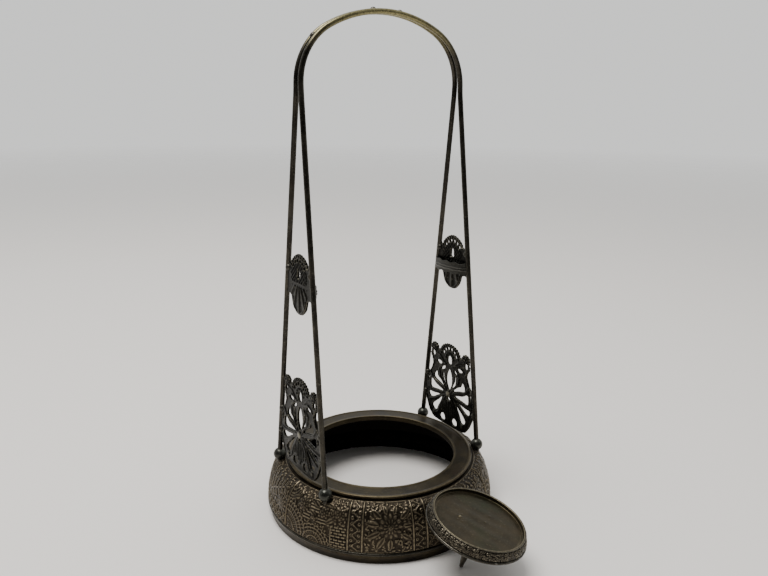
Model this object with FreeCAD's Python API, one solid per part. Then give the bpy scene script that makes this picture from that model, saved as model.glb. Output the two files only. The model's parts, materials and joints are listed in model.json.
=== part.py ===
import FreeCAD, Part
import math
import os

# A table holder for one glass jar: a pressed ring base, a collar that the jar drops into, a
# tall two-wire bail with pierced plaques, and the jar's loose lid lying upside-down against
# the base. Heights are measured up from the table. X runs along the bail, from its left legs
# to its right legs, and front is -Y. Every finished piece is then lowered, so that the
# origin is the centre of the jar opening in the collar's top face.

# Driving dimensions, in millimetres
seat_height = 31.0          # collar's top face
jar_opening_radius = 42.0
collar_radius = 52.0
collar_thickness = 1.6
flange_depth = 3.0
flange_wall = 0.9

sheet = 0.9                 # base sheet
shell_bottom = 6.4
shoulder_height = seat_height - collar_thickness
land_inner_radius = 45.0
land_outer_radius = 50.0
# Outer face of the shell, as (radius, height), from the seam up to the land
shell_outline = [(63.4, shell_bottom), (63.0, 12.0), (61.3, 19.5), (58.6, 25.3), (55.6, 28.3),
                 (52.8, 29.2), (land_outer_radius, shoulder_height)]
foot_radius = 62.3
foot_inner_radius = 61.3
foot_flare = 0.2
foot_flare_height = 3.4
foot_seat_height = 4.6      # where the foot flares out to meet the shell's edge
foot_sleeve_height = 11.0
bead_ring_radius = 62.85
bead_section_radius = 0.85
bead_height = 5.4

wire_radius = 1.4
ball_radius = 3.45
ball_height = 30.5
leg_x = 50.2                # ball centres
leg_y = 25.7
arch_half_width = 47.5
arch_spring_height = 230.0  # where the arch's curve begins
arch_rise = 34.3
arch_shoulder_radius = 30.0
crown_spacing = 2.9         # between the two wires' axes at the top of the arch
spring_spacing = 4.6        # between them where the arch begins
corner_drop = 3.0           # from there down to where a leg's axis meets the arch's slope
bend_radius = 60.0
leg_tail = 5.6              # wire end below the ball's centre, inside the shell
leg_solder_radius = 2.4
leg_solder_depth = 5.2      # below the ball's centre
arch_bead_radius = 1.7
arch_bead_lift = 0.45
arch_bead_places = [-39.0, -6.5, 9.0]

# Plaques. They are drawn flat, as (across, height), in the plane of one pair of legs. An
# outline lists its right half from the bottom centre to the top centre, as arcs through
# three points each, where an arc's last point starts the next. The left half mirrors it.
plaque_thickness = 1.2
plaque_solder_radius = 1.9
plaque_solder_inset = 0.9   # from a leg's axis towards the plaque
lower_solder_heights = [47.0, 60.0]
upper_solder_heights = [140.5]
hub_height = 52.5
lower_outline = [(0, 32.2), (7.5, 32.4), (15.0, 33.2), (18.8, 37.2), (21.3, 43.0), (23.6, 50.0),
                 (21.6, 58.0), (17.8, 62.4), (15.7, 67.5), (16.3, 70.8), (17.4, 74.0), (17.2, 79.4),
                 (13.8, 81.2), (11.4, 80.5), (10.0, 78.2), (6.6, 81.9), (0, 83.6)]
lower_oval = [(0, 55.6), (2.6, 62.0), (0, 68.2)]
lower_window = [(0, 71.6), (1.7, 74.0), (0, 76.6)]
# Openings that fan out from the hub: angle, inner and outer distance, half spread in degrees
fan_openings = [(57, 6.2, 12.2, 8), (30, 6.2, 13.9, 9), (6, 6.6, 15.8, 9), (-17, 8.4, 17.6, 6.5),
                (-43, 8.0, 17.0, 7)]
small_openings = [(5.4, 35.9, 2.0), (9.5, 70.2, 0.9), (15.2, 75.0, 0.8)]   # across, height, radius
crest_hole_radius = 0.6
lower_crest = (73.2, 8.3, [50, 70, 90, 110, 130])    # centre height, radius, angles
upper_outline = [(0, 118.3), (5.6, 120.6), (8.2, 126.2), (10.6, 127.2), (13.6, 127.4), (13.5, 135.0),
                 (12.4, 143.4), (10.8, 143.9), (9.2, 143.2), (5.5, 147.6), (0, 149.2)]
upper_slit = [(0, 136.9), (1.3, 139.0), (0, 142.2)]
upper_crest = (138.9, 7.4, [40, 60, 80, 100, 120, 140])

# Strap behind an upper plaque. Half of each face, from one leg's inner side to the middle, is
# listed as (inward, across), measured from the middle between the two legs.
strap_bottom = 128.5
strap_top = 135.5
strap_outer_face = [(2.2, 13.6), (2.2, 12.8), (4.4, 11.6), (5.6, 6.5), (5.9, 0)]
strap_inner_face = [(1.4, 13.6), (1.4, 12.2), (3.7, 10.9), (4.8, 6.2), (5.1, 0)]

# Lid, drawn about its own axis: the upper rim is at height 0 and the finial points down
lid_centre = FreeCAD.Vector(3.0, -82.1, 29.15)   # centre of the lid's upper rim as it lies
lid_axis = FreeCAD.Vector(0.180, -0.197, 0.964)
lid_sheet = 0.7
lid_rim_radius = 23.5
lid_plate_depth = 2.3
lid_upstand_radius = 23.0
lid_upstand_setback = 0.2
lid_edge_radius = 24.9
lid_edge_section = 0.6
lid_edge_depth = 5.45
lid_band_outline = [(25.2, -lid_edge_depth), (25.15, -3.5), (24.6, -1.5), (lid_rim_radius, 0)]
dome_depth = 9.2
dome_edge_depth = 5.9
dome_radius = 24.7
washer_radius = 5.2
washer_thickness = 1.2
washer_bedding = 0.3
finial_tip_depth = 30.14
finial_tip_radius = 1.0
# Side of the finial, as (radius, depth below its top): a foot, a neck, a bud and a spire
finial_outline = [(3.4, 0), (3.7, 0.9), (1.9, 2.6), (2.2, 4.0), (4.4, 6.8), (4.2, 8.6), (2.3, 11.0),
                  (1.5, 14.2), (1.1, 17.2)]
nut_bedding = 0.1
stud_radius = 1.2
stud_top = 6.0
stud_bottom = 18.0
nut_across_flats = 5.0
nut_thickness = 2.0

Vec = FreeCAD.Vector
up = Vec(0, 0, 1)
origin = Vec(0, 0, 0)


def turned(edges):
    """Solid turned about Z from a closed outline in the XZ plane."""
    face = Part.Face(Part.Wire(edges))
    return face.revolve(origin, up, 360)


def turned_polygon(points):
    """Solid turned about Z from straight lines between (radius, height) points."""
    corners = [Vec(r, 0, z) for r, z in points]
    return turned(Part.makePolygon(corners + corners[:1]).Edges)


def smooth_curve(points):
    """Curve in the XZ plane through (radius, height) points."""
    curve = Part.BSplineCurve()
    curve.interpolate([Vec(r, 0, z) for r, z in points])
    return curve


def sheet_ring(points, wall, samples=12):
    """Ring of sheet with a smooth outer face through points, listed from the bottom up."""
    outer = smooth_curve(points)
    inside = []
    for i in range(samples + 1):
        share = i / samples
        at = outer.FirstParameter + (outer.LastParameter - outer.FirstParameter) * share
        along = outer.tangent(at)[0]
        spot = outer.value(at)
        inside.append((spot.x - along.z * wall, spot.z + along.x * wall))
    inner = smooth_curve(inside)
    top = Part.makeLine(outer.value(outer.LastParameter), inner.value(inner.LastParameter))
    bottom = Part.makeLine(inner.value(inner.FirstParameter), outer.value(outer.FirstParameter))
    return turned([outer.toShape(), top, inner.toShape(), bottom])


def tube(inner_radius, outer_radius, bottom, top):
    """Plain ring about Z."""
    outside = Part.makeCylinder(outer_radius, top - bottom, Vec(0, 0, bottom))
    return outside.cut(Part.makeCylinder(inner_radius, top - bottom, Vec(0, 0, bottom)))


def cut_all(shape, tools):
    """The shape with every tool taken out of it."""
    for tool in tools:
        shape = shape.cut(tool)
    return shape


def group(shapes):
    """Separate solids in one node."""
    solids = [solid for shape in shapes for solid in shape.Solids]
    return Part.makeCompound(solids)


def leg_foot(side_x, side_y):
    """Centre of a leg's ball."""
    return Vec(side_x * leg_x, side_y * leg_y, ball_height)


def arch_slope(side_y):
    """From where a wire's arch begins, up its slightly sloping plane to the crown's level."""
    return Vec(0, side_y * (crown_spacing - spring_spacing) / 2, arch_rise)


def arch_spring(side_x, side_y):
    """Where a wire's arch begins."""
    return Vec(side_x * arch_half_width, side_y * spring_spacing / 2, arch_spring_height)


def leg_corner(side_x, side_y):
    """Where a leg's axis meets the line that runs down the arch's slope."""
    return arch_spring(side_x, side_y) - arch_slope(side_y).normalize() * corner_drop


def leg_direction(side_x, side_y):
    """Unit vector up a leg."""
    return (leg_corner(side_x, side_y) - leg_foot(side_x, side_y)).normalize()


def leg_point(side_x, side_y, height):
    """Point on the axis of a straight leg."""
    foot = leg_foot(side_x, side_y)
    rise = leg_corner(side_x, side_y) - foot
    return foot + rise * ((height - ball_height) / rise.z)


# Base

def make_shell():
    curved = sheet_ring(shell_outline, sheet)
    land = tube(land_inner_radius, land_outer_radius + sheet / 2, shoulder_height - sheet,
                shoulder_height)
    return curved.fuse(land).removeSplitter()


def shell_volume():
    """Everything inside the shell's outer face, used to bed pieces on it."""
    outer = smooth_curve(shell_outline)
    top = outer.value(outer.LastParameter)
    bottom = outer.value(outer.FirstParameter)
    rest = Part.makePolygon([top, Vec(0, 0, top.z), Vec(0, 0, bottom.z), bottom])
    return turned([outer.toShape()] + rest.Edges)


def make_collar():
    edge = collar_thickness / 2
    top = seat_height
    under = shoulder_height
    flat_end = collar_radius - edge
    flange_end = seat_height - flange_depth
    flange_outer = jar_opening_radius + flange_wall
    rim = Part.Arc(Vec(flat_end, 0, top), Vec(collar_radius, 0, top - edge),
                   Vec(flat_end, 0, under)).toShape()
    corners = [(flat_end, under), (flange_outer, under), (flange_outer, flange_end),
               (jar_opening_radius, flange_end), (jar_opening_radius, top), (flat_end, top)]
    rest = Part.makePolygon([Vec(r, 0, z) for r, z in corners])
    return turned([rim] + rest.Edges)


def make_foot_band():
    outline = [(foot_inner_radius, 0), (foot_radius, 0),
               (foot_radius + foot_flare, foot_flare_height),
               (bead_ring_radius, foot_seat_height), (bead_ring_radius, shell_bottom),
               (foot_radius, shell_bottom), (foot_radius, foot_sleeve_height),
               (foot_inner_radius, foot_sleeve_height)]
    return turned_polygon(outline)


# Bail

def straight_rod(start, end):
    return Part.makeCylinder(wire_radius, (end - start).Length, start, end - start)


def bent_rod(start, along, centre, degrees):
    """Rod that leaves start in the direction along and turns about centre."""
    section = Part.Face(Part.Wire(Part.makeCircle(wire_radius, start, along)))
    return section.revolve(centre, (start - centre).cross(along), degrees)


def crown_radius():
    """Radius of the arch's crown, which meets both shoulder arcs smoothly."""
    rise = arch_slope(1).Length
    return (arch_half_width ** 2 + rise ** 2 - 2 * arch_half_width * arch_shoulder_radius) / (
        2 * (rise - arch_shoulder_radius))


def crown_half_angle():
    return math.degrees(math.atan2(arch_half_width - arch_shoulder_radius,
                                   crown_radius() - arch_slope(1).Length))


def groove_point(along):
    """Point in the groove between the two wires, above a place along the arch."""
    crown = crown_radius()
    crown_end = crown * math.sin(math.radians(crown_half_angle()))
    if abs(along) <= crown_end:
        radius = crown
        centre = Vec(0, 0, arch_spring_height + arch_rise - crown)
    else:
        radius = arch_shoulder_radius
        shoulder = arch_half_width - arch_shoulder_radius
        centre = Vec(math.copysign(shoulder, along), 0, arch_spring_height)
    level = along - centre.x
    spoke = Vec(level, 0, math.sqrt(radius ** 2 - level ** 2)).normalize()
    return centre + spoke * (radius + arch_bead_lift)


def half_bail(side_x, side_y):
    """Leg, bend, short straight and shoulder arc on one side of a bail wire."""
    rise = leg_direction(side_x, side_y)
    climb = arch_slope(side_y).normalize()
    corner = leg_corner(side_x, side_y)
    turn = rise.getAngle(climb)
    tangent = bend_radius * math.tan(turn / 2)
    bend_start = corner - rise * tangent
    bend_end = corner + climb * tangent
    inward = (climb - rise * rise.dot(climb)).normalize()
    spring = arch_spring(side_x, side_y)
    shoulder_centre = spring - Vec(side_x * arch_shoulder_radius, 0, 0)
    return [straight_rod(leg_foot(side_x, side_y) - rise * leg_tail, bend_start),
            bent_rod(bend_start, rise, bend_start + inward * bend_radius, math.degrees(turn)),
            straight_rod(bend_end, spring),
            bent_rod(spring, climb, shoulder_centre, 90 - crown_half_angle())]


def bail_wire(side_y):
    """One wire from leg to leg: two straight legs joined by an arch of three arcs."""
    crown = crown_radius()
    turn = math.radians(crown_half_angle())
    climb = arch_slope(side_y).normalize()
    top = Vec(0, side_y * crown_spacing / 2, arch_spring_height + arch_rise)
    centre = top - climb * crown
    across = Vec(1, 0, 0)
    start = centre + (climb * math.cos(turn) - across * math.sin(turn)) * crown
    along = across * math.cos(turn) + climb * math.sin(turn)
    arc = bent_rod(start, along, centre, 2 * crown_half_angle())
    return arc.fuse(half_bail(-1, side_y) + half_bail(1, side_y)).removeSplitter()


def arch_beads():
    """Solder beads that sit in the groove between the two wires, outside the arch."""
    return [Part.makeSphere(arch_bead_radius, groove_point(place)) for place in arch_bead_places]


# Plaques and straps

def flat(across, height):
    """Point on the back face of a flat plaque."""
    return Vec(-plaque_thickness / 2, across, height)


def thicken(edges):
    outline = Part.Wire(Part.__sortEdges__(edges))
    return Part.Face(outline).extrude(Vec(plaque_thickness, 0, 0))


def plate(half_outline):
    """Flat plate from the arcs of its right half and their mirror image."""
    edges = []
    for side in (1, -1):
        spots = [flat(side * across, height) for across, height in half_outline]
        for i in range(0, len(spots) - 1, 2):
            edges.append(Part.Arc(spots[i], spots[i + 1], spots[i + 2]).toShape())
    return thicken(edges)


def disc(across, height, radius):
    return Part.makeCylinder(radius, plaque_thickness, flat(across, height), Vec(1, 0, 0))


def fan_opening(side, angle, inner, outer, spread):
    """Teardrop opening: a point near the hub, and a round end away from it."""
    def spot(radius, turn):
        way = math.radians(angle + turn)
        return flat(side * radius * math.cos(way), hub_height + radius * math.sin(way))

    tip = spot(inner, 0)
    low = spot(outer, -spread)
    high = spot(outer, spread)
    bulge = outer * math.radians(spread)
    end = Part.Arc(low, spot(outer + bulge, 0), high).toShape()
    return thicken([Part.makeLine(tip, low), end, Part.makeLine(high, tip)])


def crest_holes(centre_height, radius, angles):
    """Row of small round holes along the crest."""
    holes = []
    for angle in angles:
        turn = math.radians(angle)
        holes.append(disc(radius * math.cos(turn), centre_height + radius * math.sin(turn),
                          crest_hole_radius))
    return holes


def make_lower_plaque():
    openings = [plate(lower_oval), plate(lower_window)] + crest_holes(*lower_crest)
    for side in (-1, 1):
        openings += [fan_opening(side, *sizes) for sizes in fan_openings]
        openings += [disc(side * across, height, radius) for across, height, radius in small_openings]
    return cut_all(plate(lower_outline), openings)


def make_upper_plaque():
    return cut_all(plate(upper_outline), [plate(upper_slit)] + crest_holes(*upper_crest))


def to_right_side(shape):
    """Leans a flat plaque into the plane of the right-hand legs."""
    corner = leg_corner(1, 1)
    lean = math.degrees(math.atan2(leg_x - corner.x, corner.z - ball_height))
    placed = shape.copy()
    placed.rotate(Vec(0, 0, ball_height), Vec(0, 1, 0), -lean)
    placed.translate(Vec(leg_x, 0, 0))
    return placed


def to_left(shape):
    return shape.mirror(origin, Vec(1, 0, 0))


def both_halves(half):
    """Line whose first half is given up to the middle, and whose second half mirrors it."""
    return half + [(inward, -across) for inward, across in reversed(half[:-1])]


def make_strap():
    """Strap behind the right upper plaque, bulging towards the jar."""
    middle = leg_point(1, 1, (strap_bottom + strap_top) / 2)
    outline = both_halves(strap_outer_face) + both_halves(strap_inner_face)[::-1]
    corners = [Vec(middle.x - inward, across, strap_bottom) for inward, across in outline]
    band = Part.Face(Part.makePolygon(corners + corners[:1]))
    return band.extrude(Vec(0, 0, strap_top - strap_bottom))


def leg_solder(heights):
    """Solder beads where a right-hand plaque meets its two legs."""
    beads = []
    for side_y in (-1, 1):
        for height in heights:
            at = leg_point(1, side_y, height)
            beads.append(Part.makeSphere(plaque_solder_radius,
                                         at - Vec(0, side_y * plaque_solder_inset, 0)))
    return beads


# Lid

def make_lid_pan():
    inner = lid_upstand_radius - lid_sheet
    under = -lid_plate_depth - lid_sheet
    return turned_polygon([(0, under), (lid_upstand_radius, under),
                           (lid_upstand_radius, -lid_upstand_setback), (inner, -lid_upstand_setback),
                           (inner, -lid_plate_depth), (0, -lid_plate_depth)])


def make_lid_band():
    return sheet_ring(lid_band_outline, lid_sheet)


def make_lid_edge_wire():
    return Part.makeTorus(lid_edge_radius, lid_edge_section, Vec(0, 0, -lid_edge_depth))


def dome_ball(inset):
    """Ball whose lowest part is the dome's outer face, or a face inset from it."""
    rise = dome_depth - dome_edge_depth
    radius = (dome_radius ** 2 + rise ** 2) / (2 * rise)
    return Part.makeSphere(radius - inset, Vec(0, 0, radius - dome_depth))


def make_lid_dome():
    rise = dome_depth - dome_edge_depth
    cap = dome_ball(0).cut(dome_ball(lid_sheet))
    return cap.common(Part.makeCylinder(dome_radius, rise, Vec(0, 0, -dome_depth)))


def make_finial():
    top = -dome_depth - washer_thickness
    side = smooth_curve([(radius, top - depth) for radius, depth in finial_outline])
    tip_centre = -finial_tip_depth + finial_tip_radius
    end = side.value(side.LastParameter)
    lines = Part.makePolygon([end, Vec(finial_tip_radius, 0, tip_centre), Vec(0, 0, tip_centre),
                              Vec(0, 0, top), side.value(side.FirstParameter)])
    tip = Part.makeSphere(finial_tip_radius, Vec(0, 0, tip_centre))
    return turned([side.toShape()] + lines.Edges).fuse(tip).removeSplitter()


def make_nut():
    corner = nut_across_flats / math.sqrt(3)
    bottom = -dome_depth + lid_sheet - nut_bedding
    corners = [Vec(corner * math.cos(math.radians(60 * i)), corner * math.sin(math.radians(60 * i)),
                   bottom) for i in range(7)]
    return Part.Face(Part.makePolygon(corners)).extrude(Vec(0, 0, nut_thickness))


def make_lid():
    """The lid's pieces by name, about the lid's own axis."""
    stud = Part.makeCylinder(stud_radius, stud_bottom - stud_top, Vec(0, 0, -stud_bottom))
    edge_wire = make_lid_edge_wire()
    band = make_lid_band().cut(edge_wire)
    dome = cut_all(make_lid_dome(), [edge_wire, stud])
    washer = Part.makeCylinder(washer_radius, washer_thickness + washer_bedding,
                               Vec(0, 0, -dome_depth - washer_thickness))
    return {
        "lid_pan": make_lid_pan().cut(band),
        "lid_band": band,
        "lid_edge_wire": edge_wire,
        "lid_dome": dome,
        "finial_washer": cut_all(washer, [dome_ball(0), stud]),
        "finial": make_finial().cut(stud),
        "finial_stud": stud,
        "finial_nut": cut_all(make_nut(), [dome, stud]),
    }


def lay_down(shape):
    """Tips a lid piece into the place where the lid lies."""
    placed = shape.copy()
    turn = FreeCAD.Rotation(up, lid_axis)
    placed.Placement = FreeCAD.Placement(lid_centre, turn)
    return placed


def save(name, shape):
    lowered = shape.copy()
    lowered.translate(Vec(0, 0, -seat_height))
    lowered.exportStep("parts/" + name + ".step")


def main():
    os.makedirs("parts", exist_ok=True)
    pieces = {}

    wires = {"front": bail_wire(-1), "rear": bail_wire(1)}
    both_wires = list(wires.values())
    filled_shell = shell_volume()
    shell = cut_all(make_shell(), both_wires)
    foot_bead = Part.makeTorus(bead_ring_radius, bead_section_radius, Vec(0, 0, bead_height))

    pieces["collar_ring"] = make_collar()
    pieces["base_shell"] = cut_all(shell, [foot_bead, pieces["collar_ring"]])
    pieces["foot_bead"] = foot_bead
    pieces["foot_band"] = cut_all(make_foot_band(), [foot_bead, pieces["base_shell"]])
    pieces["front_bail_wire"] = wires["front"]
    pieces["rear_bail_wire"] = wires["rear"]

    solder = []
    for side_x, x_name in ((-1, "left"), (1, "right")):
        for side_y, y_name in ((-1, "front"), (1, "rear")):
            centre = leg_point(side_x, side_y, ball_height)
            ball = Part.makeSphere(ball_radius, centre)
            pieces["leg_ball_" + x_name + "_" + y_name] = cut_all(ball, both_wires + [filled_shell])
            end = centre - leg_direction(side_x, side_y) * leg_solder_depth
            bead = Part.makeSphere(leg_solder_radius, end).common(filled_shell)
            solder.append(cut_all(bead, both_wires + [shell]))
    pieces["leg_solder_joints"] = group(solder)
    pieces["arch_solder_beads"] = group([cut_all(bead, both_wires) for bead in arch_beads()])

    lower = to_right_side(make_lower_plaque()).cut(Part.makeCompound(both_wires))
    upper = to_right_side(make_upper_plaque()).cut(Part.makeCompound(both_wires))
    strap = cut_all(make_strap(), both_wires + [upper])
    solids = both_wires + [lower, upper, strap]
    joints = [cut_all(bead, solids) for bead in leg_solder(lower_solder_heights)]
    upper_joints = [cut_all(bead, solids) for bead in leg_solder(upper_solder_heights)]
    pieces["lower_plaque_right"] = lower
    pieces["lower_plaque_left"] = to_left(lower)
    pieces["upper_plaque_right"] = upper
    pieces["upper_plaque_left"] = to_left(upper)
    pieces["tongs_strap_right"] = strap
    pieces["tongs_strap_left"] = to_left(strap)
    pieces["lower_plaque_solder"] = group(joints + [to_left(bead) for bead in joints])
    pieces["upper_plaque_solder"] = group(upper_joints + [to_left(bead) for bead in upper_joints])

    for name, shape in make_lid().items():
        pieces[name] = lay_down(shape)

    for name, shape in pieces.items():
        save(name, shape)


main()
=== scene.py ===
import json
import math

import bpy
import numpy as np
from mathutils import Matrix, Vector


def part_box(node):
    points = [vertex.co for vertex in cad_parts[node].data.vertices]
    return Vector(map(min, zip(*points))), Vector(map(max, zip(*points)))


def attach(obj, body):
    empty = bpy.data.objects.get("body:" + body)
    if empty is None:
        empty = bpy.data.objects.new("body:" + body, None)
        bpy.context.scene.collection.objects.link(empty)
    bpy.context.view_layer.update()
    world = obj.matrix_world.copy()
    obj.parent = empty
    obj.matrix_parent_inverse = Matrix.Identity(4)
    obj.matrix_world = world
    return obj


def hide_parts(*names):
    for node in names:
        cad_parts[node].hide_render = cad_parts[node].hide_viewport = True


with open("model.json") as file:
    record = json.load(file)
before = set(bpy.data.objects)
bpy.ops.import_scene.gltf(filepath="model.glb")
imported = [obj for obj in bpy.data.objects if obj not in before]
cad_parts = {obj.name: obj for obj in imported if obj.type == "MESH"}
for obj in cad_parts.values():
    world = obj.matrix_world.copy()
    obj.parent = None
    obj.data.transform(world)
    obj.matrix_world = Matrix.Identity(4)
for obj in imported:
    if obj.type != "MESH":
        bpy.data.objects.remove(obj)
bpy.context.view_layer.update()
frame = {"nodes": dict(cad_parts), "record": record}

# Looks of a castor frame and its loose lid. Shapes are worked out in millimetres in the
# frame of the CAD model, and become metres when a mesh is made.

MM = 0.001
FRAME_BODY = "castor_frame"
LID_BODY = "jar_lid"


# Places taken from the frame

def node_box(node):
    low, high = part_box(node)
    return np.array(low) / MM, np.array(high) / MM


def node_points(node):
    mesh = frame["nodes"][node].data
    flat = np.zeros(len(mesh.vertices) * 3)
    mesh.vertices.foreach_get("co", flat)
    return flat.reshape(-1, 3) / MM


def from_axis(points):
    """Distances of points from the Z axis."""
    return np.hypot(points[:, 0], points[:, 1])


table_z = node_box("foot_band")[0][2]
collar_radius = node_box("collar_ring")[1][0]
mounts = {mount["name"]: mount for mount in frame["record"]["mounts"]}
opening_radius = mounts["jar_opening"]["dims"]["r_mm"]


def outer_profile(points):
    """Outer face of a turned shape, as (radius, height) from its lowest point up: the outer
    chain of the convex hull of its section."""
    section = {(round(math.hypot(x, y), 2), round(z, 2)) for x, y, z in points}
    chain = []
    for spot in sorted(section, key=lambda s: (s[1], s[0])):
        while len(chain) > 1:
            (r0, z0), (r1, z1) = chain[-2:]
            if (r1 - r0) * (spot[1] - z0) - (z1 - z0) * (spot[0] - r0) > 0:
                break
            chain.pop()
        chain.append(spot)
    return np.array(chain)


def leg_ends():
    """Ends of the straight part of the right rear leg: the centre of its ball, and the lowest
    ring of wire well above the ball."""
    low, high = node_box("leg_ball_right_rear")
    ball = (low + high) / 2
    ball[2] = high[2] - max(high[:2] - low[:2]) / 2
    points = node_points("rear_bail_wire")
    upper = points[(points[:, 0] > 0) & (points[:, 2] > ball[2] + 100)]
    return ball, upper[upper[:, 2] < upper[:, 2].min() + 0.8].mean(0)


leg_low, leg_high = leg_ends()


def leg_at(height):
    """(x, y) of the axis of the right rear leg at a height above the table."""
    share = (height + table_z - leg_low[2]) / (leg_high[2] - leg_low[2])
    return leg_low[:2] + (leg_high[:2] - leg_low[:2]) * share


def lid_place():
    """Matrix that lays a lid drawn about Z into its place: the edge wire's centre goes to the
    origin of the drawing, and its axis to Z."""
    points = node_points("lid_edge_wire")
    centre = (points.min(0) + points.max(0)) / 2
    axis = np.linalg.svd(points - points.mean(0), full_matrices=False)[2][2]
    axis = axis if axis[2] > 0 else -axis
    turn = Vector((0, 0, 1)).rotation_difference(Vector(axis)).to_matrix().to_4x4()
    return Matrix.Translation(Vector(centre)) @ turn


# Meshes

PAINTED_SHADE_MARK = -1.0                    # relief attribute of faces that get painted shade, such as inner faces
plates = {}                     # the materials, by the name of their slot


def add_object(name, data):
    added = bpy.data.objects.new(name, data)
    bpy.context.scene.collection.objects.link(added)
    return added


def make_piece(name, points, faces, slot, relief, node, body=FRAME_BODY):
    """A mesh from points in millimetres, riding on a body in place of a CAD node."""
    mesh = bpy.data.meshes.new(name)
    mesh.from_pydata((np.asarray(points) * MM).tolist(), [], [tuple(f) for f in faces])
    values = mesh.attributes.new("relief", "FLOAT", "POINT")
    values.data.foreach_set("value", np.asarray(relief, dtype=np.float32))
    mesh.shade_smooth()
    mesh.materials.append(plates[slot])
    piece = add_object(name, mesh)
    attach(piece, body)
    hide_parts(node)


def grid_faces(rows, columns, wrap_rows):
    """Quads of a grid of rows by columns that wraps round its columns."""
    row = np.arange(rows if wrap_rows else rows - 1)[:, None]
    column = np.arange(columns)[None, :]
    above = (row + 1) % rows
    beside = (column + 1) % columns
    return np.stack([row * columns + column, row * columns + beside,
                     above * columns + beside, above * columns + column], -1).reshape(-1, 4)


def angles_of(columns):
    return 2 * math.pi * np.arange(columns) / columns


def spin(radius, height, columns):
    """Rings of points about Z. The radii and heights have a row for each ring."""
    angles = angles_of(columns)
    height = np.broadcast_to(height, (len(height), columns))
    return np.stack([radius * np.cos(angles), radius * np.sin(angles), height], -1).reshape(-1, 3)


def lathe(outline, columns=360):
    """Closed solid turned about Z. The outline runs anticlockwise as (radius, height), and may
    start and end on the axis."""
    outline = np.asarray(outline, float)
    on_axis = outline[0, 0] < 1e-6
    rings = outline[1:-1] if on_axis else outline
    points = spin(rings[:, :1], rings[:, 1:], columns)
    faces = grid_faces(len(rings), columns, not on_axis).tolist()
    if on_axis:
        first, last = len(points), len(points) + 1
        points = np.vstack([points, [(0, 0, outline[0, 1]), (0, 0, outline[-1, 1])]])
        top = (len(rings) - 1) * columns
        for i in range(columns):
            j = (i + 1) % columns
            faces.append((first, j, i))
            faces.append((last, top + i, top + j))
    return points, faces


def soften(corners, radius, steps=4, closed=True):
    """Outline with each corner rounded by a short curve."""
    corners = np.asarray(corners, float)
    count = len(corners)
    out = []
    for i in range(count):
        here = corners[i]
        if not closed and i in (0, count - 1):
            out.append(here)
            continue
        back = corners[i - 1] - here
        ahead = corners[(i + 1) % count] - here
        reach = min(radius, 0.45 * np.linalg.norm(back), 0.45 * np.linalg.norm(ahead))
        start = here + back / np.linalg.norm(back) * reach
        end = here + ahead / np.linalg.norm(ahead) * reach
        for k in range(steps + 1):
            t = k / steps
            out.append((1 - t) ** 2 * start + 2 * t * (1 - t) * here + t ** 2 * end)
    return np.array(out)


def resample(line, count):
    """Points evenly spaced along a polyline, with its small kinks smoothed."""
    line = np.asarray(line, float)
    run = np.concatenate([[0], np.cumsum(np.linalg.norm(np.diff(line, axis=0), axis=1))])
    at = np.linspace(0, run[-1], count)
    even = np.stack([np.interp(at, run, line[:, k]) for k in range(line.shape[1])], -1)
    for _ in range(6):
        even[1:-1] = (even[:-2] + 2 * even[1:-1] + even[2:]) / 4
    return even, run[-1]


def normals(line):
    """Unit normals of a polyline, on the right of its direction."""
    tangent = np.gradient(line, axis=0)
    tangent /= np.linalg.norm(tangent, axis=1)[:, None]
    return np.stack([tangent[:, 1], -tangent[:, 0]], -1)


def local_mean(field, reach=2):
    """Mean of a height field over the cells near each cell. Only its columns wrap round."""
    for axis, mode in ((1, "wrap"), (0, "edge")):
        pad = [(0, 0), (0, 0)]
        pad[axis] = (reach, reach)
        padded = np.pad(field, pad, mode=mode)
        field = np.lib.stride_tricks.sliding_window_view(padded, 2 * reach + 1, axis).mean(-1)
    return field


def relief_ring(profile, columns, rows, wall, inner_rows, depth):
    """Closed ring of sheet with relief on its outer face.

    depth(angle, along) gives the relief in millimetres, where along runs from the first point
    of the profile. The sheet is pressed, so the inner face follows it faintly.
    The relief attribute is high on small crests and low in small recesses, and marks the inner faces for
    painted shade.
    """
    line, length = resample(profile, rows)
    normal = normals(line)
    relief = depth(angles_of(columns)[None], np.linspace(0, length, rows)[:, None])

    def skin(picks, out):
        spots = line[picks, None] + normal[picks, None] * out[:, :, None]
        return spin(spots[..., 0], spots[..., 1], columns)

    inner_picks = np.linspace(rows - 1, 0, inner_rows).astype(int)
    points = np.vstack([skin(np.arange(rows), relief),
                        skin(inner_picks, 0.5 * relief[inner_picks] - wall)])
    crests = relief - local_mean(relief)
    shade = 0.3 + (0.35 * (relief - relief.min()) + 2.6 * crests) / np.ptp(relief)
    # The inner faces get painted shade.
    values = np.concatenate([shade.ravel(), np.full(inner_rows * columns, PAINTED_SHADE_MARK)])
    return points, grid_faces(rows + inner_rows, columns, True), values


# Drawing relief. Each function returns a height field over arrays of places, in millimetres.

def ridge(distance, width, height):
    """Rounded ridge where distance is small."""
    return height * np.exp(-(distance / width) ** 2)


def segment_distance(x, y, start, end):
    """Distance from places to a straight segment."""
    (x0, y0), (x1, y1) = start, end
    along = ((x - x0) * (x1 - x0) + (y - y0) * (y1 - y0)) / ((x1 - x0) ** 2 + (y1 - y0) ** 2)
    along = np.clip(along, 0, 1)
    return np.hypot(x - x0 - along * (x1 - x0), y - y0 - along * (y1 - y0))


def path_distance(x, y, path):
    """Distance from places to a polyline."""
    return np.minimum.reduce([segment_distance(x, y, *ends) for ends in zip(path, path[1:])])


def apart(x, y, spot):
    """Distance from places to a spot."""
    return np.hypot(x - spot[0], y - spot[1])


def dome(x, y, centre, radius, height):
    """Round boss."""
    return height * np.sqrt(np.clip(1 - (apart(x, y, centre) / radius) ** 2, 0, None))


def domes(x, y, centres, radius, height):
    return np.maximum.reduce([dome(x, y, centre, radius, height) for centre in centres])


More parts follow.
